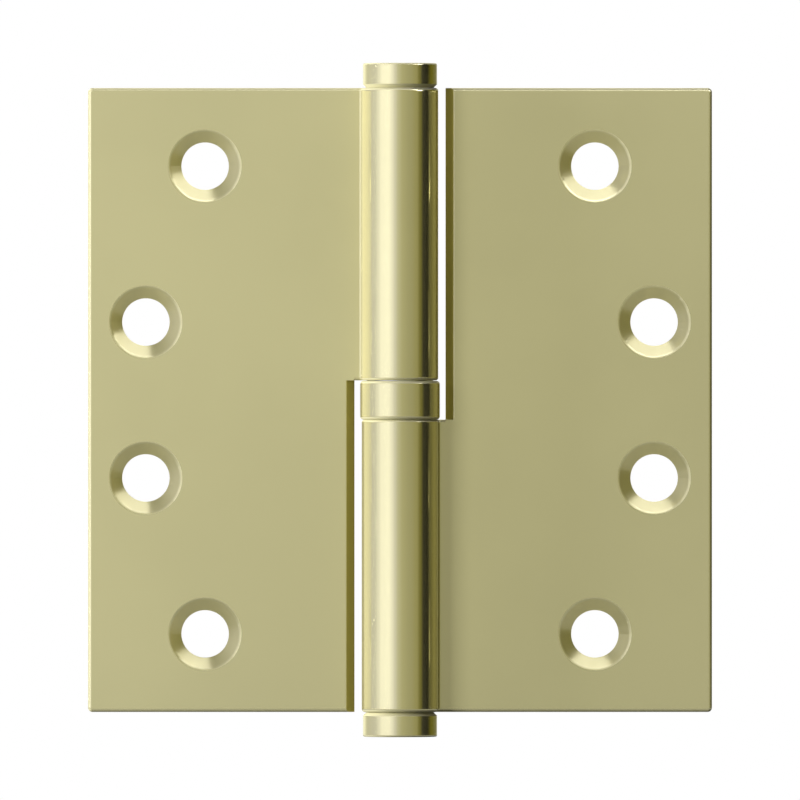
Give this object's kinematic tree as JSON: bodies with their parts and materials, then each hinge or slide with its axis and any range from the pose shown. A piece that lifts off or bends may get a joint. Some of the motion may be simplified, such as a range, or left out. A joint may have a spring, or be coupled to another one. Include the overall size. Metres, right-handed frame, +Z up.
{
  "type": "lift-off hinge",
  "caption": "Square-cornered brass lift-off butt hinge, open flat, with countersunk screw holes, a ball bearing collar between the knuckles and flat button tips.",
  "frame": {"origin": "on the pin's axis at mid-height, between the two knuckles", "axes": "+Z up along the pin, +X to the right across the open leaves, +Y into the wall behind the leaves, so the countersunk faces look towards -Y"},
  "size_m": [0.1016, 0.013, 0.1096],
  "materials": {
    "satin_brass": "satin lacquered",
    "turned_brass": "turned and polished",
    "pin_steel": "ground",
    "bearing_steel": "hardened and polished"
  },
  "bodies": {
    "frame_half": {"frame_leaf": "satin_brass", "hinge_pin": "pin_steel", "bottom_tip": "turned_brass", "lower_race": "bearing_steel", "bearing_sleeve": "turned_brass"},
    "turning_race": {"upper_race": "bearing_steel"},
    "ball_set": {"bearing_balls": "bearing_steel"},
    "door_half": {"door_leaf": "satin_brass", "top_tip": "turned_brass"}
  },
  "joints": [
    {"name": "swing", "type": "hinge", "parent": "frame_half", "child": "turning_race", "pos_m": [0, 0, 0], "axis": [0, 0, 1], "range_deg": [-115, 180]},
    {"name": "ball_roll", "type": "hinge", "parent": "frame_half", "child": "ball_set", "pos_m": [0, 0, 0], "axis": [0, 0, 1], "range_deg": [-57.5, 90]},
    {"name": "lift", "type": "slide", "parent": "turning_race", "child": "door_half", "axis": [0, 0, 1], "range_m": [0, 0.045]}
  ],
  "couplings": [
    {"joint": "ball_roll", "follows": "swing", "ratio": 0.5}
  ]
}
